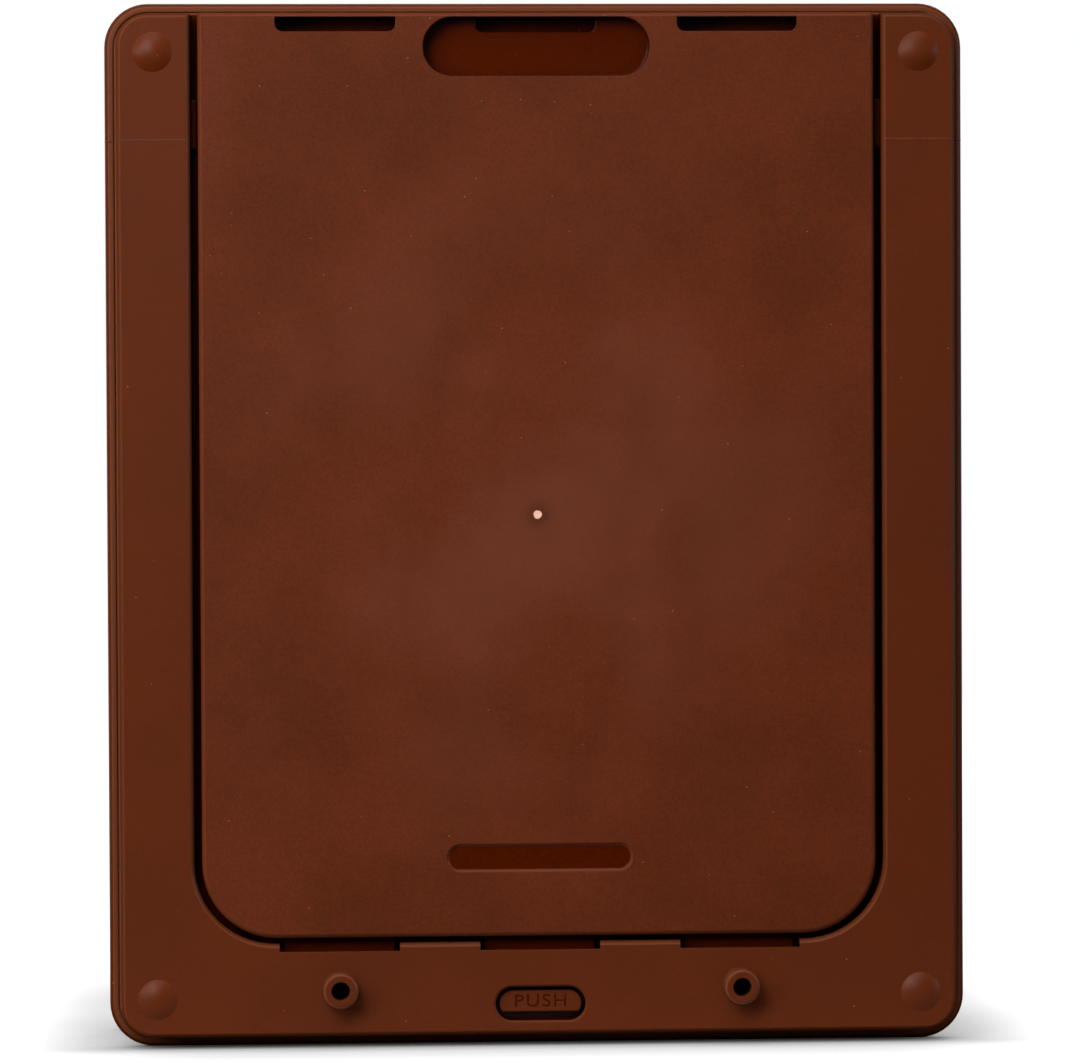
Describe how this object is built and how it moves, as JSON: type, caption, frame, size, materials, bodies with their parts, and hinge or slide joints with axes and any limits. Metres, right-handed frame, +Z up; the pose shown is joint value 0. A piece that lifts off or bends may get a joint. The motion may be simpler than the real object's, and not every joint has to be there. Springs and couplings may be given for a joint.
{
  "type": "dog flap",
  "caption": "Rounded rectangular dog flap for a house door: room-side frame with lift-out closing panel and press catch, lined tunnel, hinged flap with brush seals, outer frame.",
  "frame": {"origin": "centre of the room-side flange on the plane where it lies against the door", "axes": "+X to the right as seen from the room, +Y through the door to the outside, +Z up"},
  "size_m": [0.294, 0.078, 0.3566],
  "materials": {
    "brown_plastic": "semi-matte moulded",
    "steel": "zinc plated",
    "bristle": "nylon bristle",
    "ferrite": "sintered"
  },
  "bodies": {
    "frame": {"internal_frame": "brown_plastic", "external_frame": "brown_plastic", "screw_caps": "brown_plastic", "fixing_screws": "steel", "hinge_rod": "steel", "sill_magnet": "ferrite"},
    "panel": {"closing_panel": "brown_plastic"},
    "catch": {"press_catch": "brown_plastic"},
    "flap": {"flap": "brown_plastic", "flap_magnet": "ferrite", "flap_brush_left": "bristle", "flap_brush_right": "bristle", "flap_brush_bottom": "bristle"}
  },
  "joints": [
    {"name": "panel_lift", "type": "slide", "parent": "frame", "child": "panel", "axis": [0, 0, 1], "range_m": [0, 0.36]},
    {"name": "catch_press", "type": "hinge", "parent": "panel", "child": "catch", "pos_m": [0, -0.0088, -0.141], "axis": [1, 0, 0], "range_deg": [0, 8], "stiffness_Nm_per_rad": 0.5},
    {"name": "flap_swing", "type": "hinge", "parent": "frame", "child": "flap", "pos_m": [0, 0.012, 0.121], "axis": [1, 0, 0], "range_deg": [-2, 85]}
  ]
}
